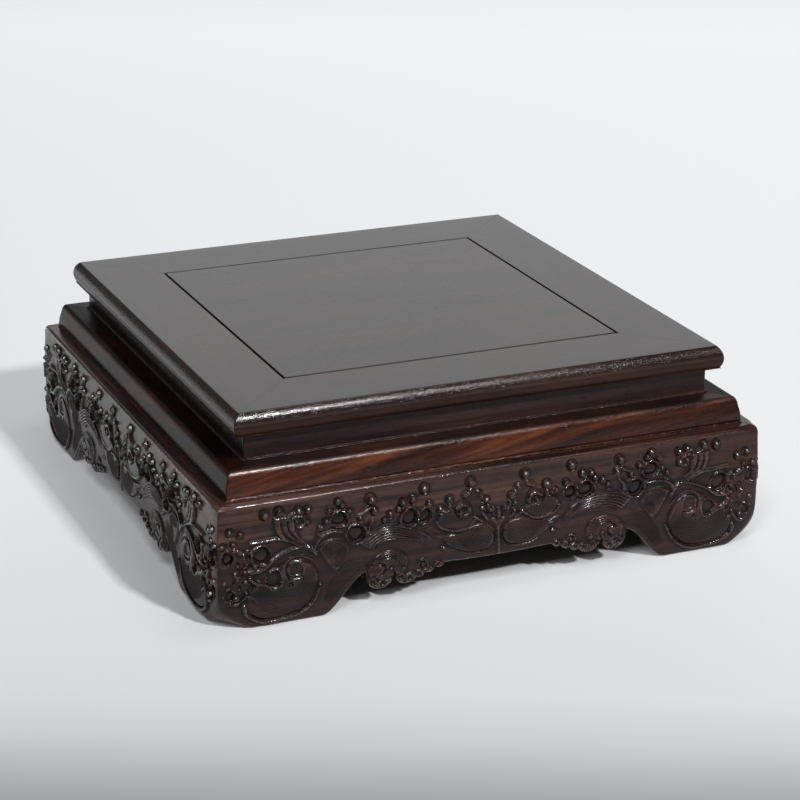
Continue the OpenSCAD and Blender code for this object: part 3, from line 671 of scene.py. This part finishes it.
# Spray beads: little domes left standing proud of the apron faces by the carver,
# of the same wood and rubbed to a brighter polish.
def spray(side):
    """Each bead is a flattened sphere, uneven from the knife, with its middle just under
    the surface it stands on: rings of latitude about the outward axis, a point at each
    pole. The facets of the knife are kept flat."""
    g = np.random.default_rng(70 + side)
    both = np.vstack([BEADS, BEADS * (-1, 1, 1)])
    count, highest = len(both), FACE + 1.55
    ground = waves(both[:, 0], both[:, 1])[0] + 0.1
    both[:, :2] += g.normal(0, 0.15, (count, 2)) + (-FRONT_SHIFT if side == 0 else 0, DRAWING_LIFT)
    both[:, 2] *= g.uniform(0.92, 1.06, count)
    lat, lon = np.radians((18, 52, 86, 120, 150)), np.radians(np.arange(18, 378, 36))
    ring = np.stack([np.outer(np.sin(lat), np.cos(lon)), np.outer(np.sin(lat), np.sin(lon)),
                     np.outer(np.cos(lat), np.ones(len(lon)))], -1).reshape(-1, 3)
    unit = np.vstack([[(0, 0, 1)], ring, [(0, 0, -1)]])
    lift = FACE + np.clip(ground, -0.2, 1.5) - 0.3 * both[:, 2]
    lift = np.minimum(lift, highest - both[:, 2])
    uneven = both[:, 2:] * np.clip(g.normal(0.95, 0.04, (count, len(unit))), 0.82, 1.0)
    x = both[:, :1] + unit[:, 0] * uneven * g.uniform(0.85, 1.1, (count, 1))
    z = both[:, 1:2] + unit[:, 1] * uneven * g.uniform(0.85, 1.1, (count, 1))
    y = -(lift[:, None] + unit[:, 2] * uneven)

    around, pole = len(lon), len(unit) - 1
    steps = [(k, (k + 1) % around) for k in range(around)]
    faces = [(0, 1 + b, 1 + a) for a, b in steps]
    for r in range(1, pole - around, around):
        faces += [(r + a, r + b, r + around + b, r + around + a) for a, b in steps]
    faces += [(pole - around + a, pole - around + b, pole) for a, b in steps]
    every = [tuple(i + q * len(unit) for i in f[::-1]) for q in range(count) for f in faces]
    marks = np.tile((0.1, 0.5, 0, 1), (count * len(unit), 1))
    drops = add_mesh("spray_beads_" + SIDES[side], turned(np.stack([x, y, z], -1), side), every, marks)
    drops.data.polygons.foreach_set("use_smooth", np.zeros(len(every), bool))
    return drops


BEAD_BROWNS = ((0.01, 0.005, 0.004), (0.025, 0.012, 0.009), (0.06, 0.027, 0.018))
bead_wood = {a: grain_wood("bead_wood_" + a.lower(), a, BEAD_BROWNS, gloss, 4, ior)
             for a, gloss, ior in (("X", 0.3, 1.55), ("Y", 0.33, 2.0))}
for n, side in enumerate(SIDES):
    drops = spray(n)
    drops.data.materials.append(bead_wood["XY"[n % 2]])
    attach(drops, "root")

# Corner blocks, keys, pins and panel battens: plain lighter wood glued inside the
# corners, across the mitres and under the panel, unpolished.
INNER_BROWNS = ((0.06, 0.036, 0.022), (0.11, 0.066, 0.04), (0.16, 0.1, 0.062))
inner_wood = grain_wood("inner_wood", "X", INNER_BROWNS, 0.5, 5, 1.4, marked=False)
for node in ("corner_block_front_left", "corner_block_front_right", "corner_block_back_left",
             "corner_block_back_right", "moulding_pins", "moulding_keys", "apron_keys",
             "panel_batten_left", "panel_batten_right"):
    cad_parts[node].data.materials.clear()
    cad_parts[node].data.materials.append(inner_wood)


# Moulding under the waist: four mitred boards of redder heartwood with a flat ledge,
# a rounded upper edge and a face that leans slightly back. A thin bead of lacquer
# has dried along the joint below.
def arc(cx, cy, r, a0, a1, steps):
    """Points on a circle from angle a0 to a1, in degrees."""
    a = np.radians(np.linspace(a0, a1, steps))
    return [(cx + r * math.cos(t), cy + r * math.sin(t)) for t in a]


def level_row(z, *distances):
    """Points at one height."""
    return [(s, z) for s in distances]


def stretch_of(points, tooled, shade):
    """Section points, each with how strongly it is tooled and its shade mark: below a half
    the colour is darkened, mostly as painted shade, and above a half it is made paler, as
    painted highlight.
    """
    return [(*p, tooled, shade) for p in points]


def mitred_board(name, section, corner, side):
    """Carries a closed section (distance from the middle, height) from mitre to mitre;
    near each end the outer face turns through half a right angle on a radius that
    grows from a hair at the inner face to the corner radius at the outermost point.
    Points tooled above one are beads of lacquer, which waver along the joint."""
    s, z, tooled, shade = np.array(section, float).T
    inner, outer, hair = s.min(), s.max(), 0.1
    r = hair + np.clip((s - inner) / (outer - inner), 0, 1) ** 2 * (corner - hair)
    end = s - r - MITRE_GAP
    flat = np.linspace(-1, 1, 181)
    bend = np.radians(np.linspace(0, 45, 7))[1:]
    straight = np.stack([np.outer(end, flat), np.repeat(s[:, None], len(flat), 1)], -1)
    turn = np.stack([end[:, None] + np.outer(r, np.sin(bend)),
                     (s - r)[:, None] + np.outer(r, np.cos(bend))], -1)
    plan = np.concatenate([turn[:, ::-1] * (-1, 1), straight, turn], 1)
    high = np.repeat(z[:, None], plan.shape[1], 1)
    waver = np.random.default_rng(90 + side).normal(0, 0.09, high.shape) * (tooled > 1)[:, None]
    points = np.stack([plan[..., 0], -plan[..., 1] + waver, high + np.abs(waver)], -1)
    marks = np.zeros((*high.shape, 4))
    marks[..., 0], marks[..., 1], marks[..., 3] = np.clip(tooled, 0, 1)[:, None], shade[:, None], 1
    return add_mesh(name, turned(points, side), tube_faces(*high.shape), marks)


MOULD_IN, MOULD_LOW, MOULD_HIGH = 84.5, 49.4, 60.0
# shade marks: the ledge and the top of the crest are darkened; the crest and the lacquer bead are made slightly
# paler, as painted highlight
mould_section = (
    stretch_of([(MOULD_IN, MOULD_HIGH)] + level_row(MOULD_LOW, MOULD_IN, 100, 107.5), 0.3, 0.5)
    + stretch_of([(108.45, 49.42), (108.4, 49.65), (108.1, 49.85), (107.75, 50)], 1.2, 0.6)
    + stretch_of(arc(106.6, 50.9, 1.5, -28, 5, 7) + [(108.05, 51.6), (107.85, 53.4), (107.3, 55.6)], 0.5, 0.55)
    + stretch_of(arc(101.8, 56.37, 5.2, 8, 36, 10), 0.8, 0.6)
    + stretch_of(arc(104.87, 58.6, 1.4, 43, 87, 7), 0.6, 0.3)
    + stretch_of(level_row(MOULD_HIGH, 104.7, 104.3, 98.4, 97.4, 90), 0.4, 0.27))
RED_BROWNS = ((0.013, 0.0045, 0.0033), (0.046, 0.0122, 0.006), (0.13, 0.037, 0.0115))
# painted shade: the side boards take the front's browns darkened to about six tenths, for sides that the front
# light leaves dark
SHADED_SIDE_BROWNS = ((0.008, 0.0027, 0.002), (0.0276, 0.0073, 0.0036), (0.078, 0.0222, 0.0069))
mould_wood = {a: grain_wood("moulding_wood_" + a.lower(), a, browns, 0.2, 7, ior, 0.9, 0.12, 0.16)
              for a, browns, ior in (("X", RED_BROWNS, 1.38), ("Y", SHADED_SIDE_BROWNS, 1.2))}
for n, side in enumerate(SIDES):
    board = mitred_board("moulding_board_" + side, mould_section, 0.5, n)
    board.data.materials.append(mould_wood["XY"[n % 2]])
    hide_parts("moulding_" + side)
    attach(board, "root")

# Waist: four plain upright boards set back under the top, tongued into the moulding
# and the rails, of the darkest wood, with a bead of lacquer along the foot.
WAIST_IN, WAIST_OUT, WAIST_LOW, WAIST_HIGH = 88.2, 97.2, 60.0, 71.0
TONGUE_IN, TONGUE_OUT, TONGUE_H = 91.2, 94.2, 2.2
waist_section = (
    stretch_of([(WAIST_IN, WAIST_HIGH), (WAIST_IN, WAIST_LOW), (TONGUE_IN, WAIST_LOW)]
               + level_row(WAIST_LOW - TONGUE_H, TONGUE_IN, TONGUE_OUT)
               + level_row(WAIST_LOW, TONGUE_OUT, 97.3), 0.3, 0.5)
    + stretch_of([(98, 60.02), (97.95, 60.2), (97.65, 60.4), (97.3, 60.6)], 1.2, 0.6)
    + stretch_of([(WAIST_OUT, z) for z in (60.8, 60.95, 61.1, 65.5, 69.5)], 0.25, 0.5)
    + stretch_of(level_row(WAIST_HIGH, WAIST_OUT, TONGUE_OUT)
                 + level_row(WAIST_HIGH + TONGUE_H, TONGUE_OUT, TONGUE_IN)
                 + [(TONGUE_IN, WAIST_HIGH)], 0.3, 0.3))
DARK_BROWNS = ((0.009, 0.0045, 0.004), (0.02, 0.0092, 0.0082), (0.04, 0.018, 0.0145))
waist_wood = {a: grain_wood("waist_wood_" + a.lower(), a, DARK_BROWNS, 0.28, 11, 1.3, spread=0.1) for a in "XY"}
for n, side in enumerate(SIDES):
    board = mitred_board("waist_board_" + side, waist_section, 0.6, n)
    board.data.materials.append(waist_wood["XY"[n % 2]])
    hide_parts("waist_" + side)
    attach(board, "root")

# Top rails: four mitred rails, grooved for the panel and rubbed smooth on top. The
# outer edge is a shallow round with a crisp line above and below, left from the plane,
# and its lower half, which the rubbing cloth misses, is duller and redder.
RAIL_IN, TOP_OUT, RAIL_LOW, TOP_HIGH = 71.4, 102.4, 71.0, 80.0
GROOVE_LOW, GROOVE_HIGH, GROOVE_END = 74.9, 77.1, 75.9
LAP_GAP, EDGE_R, EDGE_Z = 0.03, 6.6, 74.87
# painted shade: the groove, its inner edge and the crisp line above the round are darkened, and the underside a
# little; painted highlight: the upper half of the round is made paler, its lower half a little
rail_section = (
    stretch_of([(RAIL_IN, TOP_HIGH - 0.1)] + level_row(GROOVE_HIGH, RAIL_IN, GROOVE_END)
               + level_row(GROOVE_LOW, GROOVE_END, RAIL_IN) + [(RAIL_IN, RAIL_LOW + LAP_GAP)], 0.1, 0.0)
    + stretch_of([(84, RAIL_LOW + LAP_GAP), (94, RAIL_LOW), (101, RAIL_LOW)], 0.3, 0.4)
    + stretch_of([(TOP_OUT - 0.7, RAIL_LOW)] + arc(TOP_OUT - EDGE_R, EDGE_Z, EDGE_R, -35, 3, 12), 0.35, 0.6)
    + stretch_of(arc(TOP_OUT - EDGE_R, EDGE_Z, EDGE_R, 8, 50, 14), 1.0, 0.8)
    + stretch_of([(99.9, TOP_HIGH - 0.01)], 0.6, 0.3)
    + stretch_of(level_row(TOP_HIGH, 99.6, 96, 84, 74, RAIL_IN + 0.3), 0.0, 0.5)
    + stretch_of([(RAIL_IN + 0.1, TOP_HIGH)], 0.0, 0.1))
TOP_BROWNS = ((0.007, 0.0034, 0.003), (0.018, 0.0078, 0.006), (0.036, 0.0152, 0.0105))
top_wood = {a: grain_wood("top_wood_" + a.lower(), a, TOP_BROWNS, 0.2, 13, 1.49, 0.8) for a in "XY"}
EDGE_BROWNS = ((0.009, 0.0034, 0.0025), (0.024, 0.0085, 0.0055), (0.048, 0.0165, 0.0098))
edge_wood = {a: grain_wood("edge_wood_" + a.lower(), a, EDGE_BROWNS, 0.3, 13, 1.27, 0.8) for a in "XY"}
under_edge = np.array([s > 101.2 and z < 75.3 for s, z, _, _ in rail_section])
for n, side in enumerate(SIDES):
    board = mitred_board("top_rail_board_" + side, rail_section, 0.5, n)
    board.data.materials.append(top_wood["XY"[n % 2]])
    board.data.materials.append(edge_wood["XY"[n % 2]])
    across = len(board.data.vertices) // len(rail_section) - 1
    dull = np.repeat(under_edge & np.roll(under_edge, -1), across)
    board.data.polygons.foreach_set("material_index", np.append(dull, (0, 0)).astype(np.int32))
    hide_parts("top_rail_" + side)
    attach(board, "root")

# Floating panel: one flat board tongued into the rails with an open line all round,
# its grain running from left to right.
PER_SIDE = 24
AROUND = 4 * PER_SIDE


def square_loops(levels):
    """Square rings, each a half-width and a height, joined by quads and closed by a
    flat face at both ends."""
    k, one = np.linspace(-1, 1, PER_SIDE + 1)[:-1], np.ones(PER_SIDE)
    ring = np.concatenate([np.stack(p, -1) for p in ((k, -one), (one, k), (-k, one), (-one, -k))])
    points = np.array([np.column_stack([ring * half, np.full(AROUND, z)]) for half, z in levels])
    r, c = np.meshgrid(np.arange(len(levels) - 1), np.arange(AROUND), indexing="ij")
    a, b = r * AROUND + c, r * AROUND + (c + 1) % AROUND
    quads = np.stack([a, b, b + AROUND, a + AROUND], -1).reshape(-1, 4).tolist()
    last = (len(levels) - 1) * AROUND
    return points, quads + [list(range(AROUND - 1, -1, -1)), list(range(last, last + AROUND))]


panel_points, panel_faces = square_loops(
    [(75.7, 75), (75.9, 75.2), (75.9, 76.8), (75.7, 77), (70.7, 77), (70.6, 77.1),
     (70.6, 79.8), (70.52, 79.97), (70.3, 80), (69.8, 80)])
panel_marks = np.full((len(panel_points) * AROUND, 4), (0, 0.5, 0, 1.0))
# painted shade: the walls of the open line round the panel are darkened
panel_marks[4 * AROUND:8 * AROUND, 1] = 0
panel = add_mesh("floating_panel", panel_points, panel_faces, panel_marks)
panel.data.materials.append(grain_wood("panel_wood", "X", TOP_BROWNS, 0.22, 17, 1.5, 0.6))
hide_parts("top_panel")
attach(panel, "root")

# Studio: a pale seamless floor, one soft box in front on the right, weak ones above
# and beside the camera, and a pale wall far behind.
floor_mesh = bpy.data.meshes.new("studio_floor")
floor_mesh.from_pydata([(-5, -4, 0), (5, -4, 0), (5, 8, 0), (-5, 8, 0)], [], [(0, 1, 2, 3)])
floor = bpy.data.objects.new("studio_floor", floor_mesh)
bpy.context.collection.objects.link(floor)
pale = bpy.data.materials.new("pale_floor")
t = Tree(pale)
paper = t.nodes["Principled BSDF"].inputs
paper["Roughness"].default_value = 0.7
paper["Specular IOR Level"].default_value = 0.2
paper["Emission Color"].default_value = (0.965, 0.98, 1, 1)
spot = t.coordinates("Object")
depth = t.remap(t.axes(t.mapped(spot, Rotation=(0, 0, math.radians(23.6))))["Y"], -0.9, 0.9)


def shade_steps(stops):
    """A ramp of greys over the floor's depth from front to back."""
    return t.ramp(depth, [(at, (grey * 0.97, grey * 0.985, grey)) for at, grey in stops])


# The paper itself, painted darker in a band near the front of the view as shade, and a
# painted glow that lights the floor where it is seen directly or mirrored, none at that band
# and more towards the back; none of the glow under the stand.
PAPER_AND_SHADE_GREYS = ((0.0, 0.75), (1.0, 0.8), (0.342, 0.32), (0.358, 0.48), (0.37, 0.62), (0.389, 0.75))
PAINTED_GLOW_GREYS = ((0.0, 0.2), (1.0, 0.52), (0.342, 0.0), (0.389, 0.03), (0.444, 0.12), (0.5, 0.2), (0.667, 0.31))
t.link(shade_steps(PAPER_AND_SHADE_GREYS), paper["Base Color"])
path = t.nodes.new("ShaderNodeLightPath").outputs
shown = t.math("MAXIMUM", path["Is Camera Ray"], path["Is Glossy Ray"])
shown = t.math("MAXIMUM", shown, path["Is Transmission Ray"])
painted_glow = t.math("MULTIPLY", shade_steps(PAINTED_GLOW_GREYS), shown)
flat = t.axes(spot)
from_middle = t.math("MAXIMUM", t.math("ABSOLUTE", flat["X"]), t.math("ABSOLUTE", flat["Y"]))
t.link(t.math("MULTIPLY", painted_glow, t.remap(from_middle, 0.1, 0.108)), paper["Emission Strength"])
floor_mesh.materials.append(pale)


def stand_at(thing, right, up, back, place):
    """Gives an object its three axes and its place in metres."""
    grid = np.eye(4)
    grid[:3, 0], grid[:3, 1], grid[:3, 2], grid[:3, 3] = right, up, back, place
    thing.matrix_world = Matrix(grid.tolist())


def soft_light(name, place, size, watts):
    """A square soft box at a place in metres, turned to face the stand."""
    lamp = bpy.data.lights.new(name, "AREA")
    lamp.shape, lamp.size, lamp.size_y, lamp.energy = "RECTANGLE", size, size, watts
    box = bpy.data.objects.new(name, lamp)
    bpy.context.collection.objects.link(box)
    away = np.subtract(place, (0, 0, 0.05))
    away = away / np.linalg.norm(away)
    side = np.cross((0, 1, 0.01), away)
    side /= np.linalg.norm(side)
    stand_at(box, side, np.cross(away, side), away, place)


soft_light("front_light", (0.7, -2.21, 1.97), 0.2, 64)
soft_light("overhead_light", (0.25, -0.1, 1.2), 0.45, 1.5)
soft_light("fill_light", (-0.55, -0.95, 1.25), 0.5, 8.5)
world = bpy.data.worlds.new("pale_surround")
bpy.context.scene.world = world
t = Tree(world)
sky = t.axes(t.coordinates("Generated"))
wall = t.math("MULTIPLY", t.remap(sky["Y"], 0.5, 0.7), t.remap(sky["Z"], 0.58, 0.46))
wall = t.math("MULTIPLY", wall, t.remap(sky["X"], -0.15, 0.2, 0.1, 1))
background = t.nodes["Background"].inputs
background["Color"].default_value = (0.97, 0.985, 1, 1)
t.link(t.remap(wall, 0, 1, 0.06, 0.92), background["Strength"])

# Camera: a long lens high on the left, as far off as the photograph's, fitted to the
# corners of the stand's layers.
turn, tip, lean = math.radians(23.576), math.radians(20.328), math.radians(0.488)
ahead = np.array((math.sin(turn) * math.cos(tip), math.cos(turn) * math.cos(tip), -math.sin(tip)))
level = np.array((math.cos(turn), -math.sin(turn), 0))
right = level * math.cos(lean) + np.cross(level, ahead) * math.sin(lean)
lens = bpy.data.cameras.new("camera")
lens.sensor_width, lens.lens = 36, 113.59
lens.clip_start, lens.clip_end = 0.05, 50
camera = bpy.data.objects.new("camera", lens)
bpy.context.collection.objects.link(camera)
stand_at(camera, right, np.cross(right, ahead), -ahead, (-0.38953, -0.91060, 0.40387))
bpy.context.scene.camera = camera
bpy.context.scene.view_settings.view_transform = "Standard"
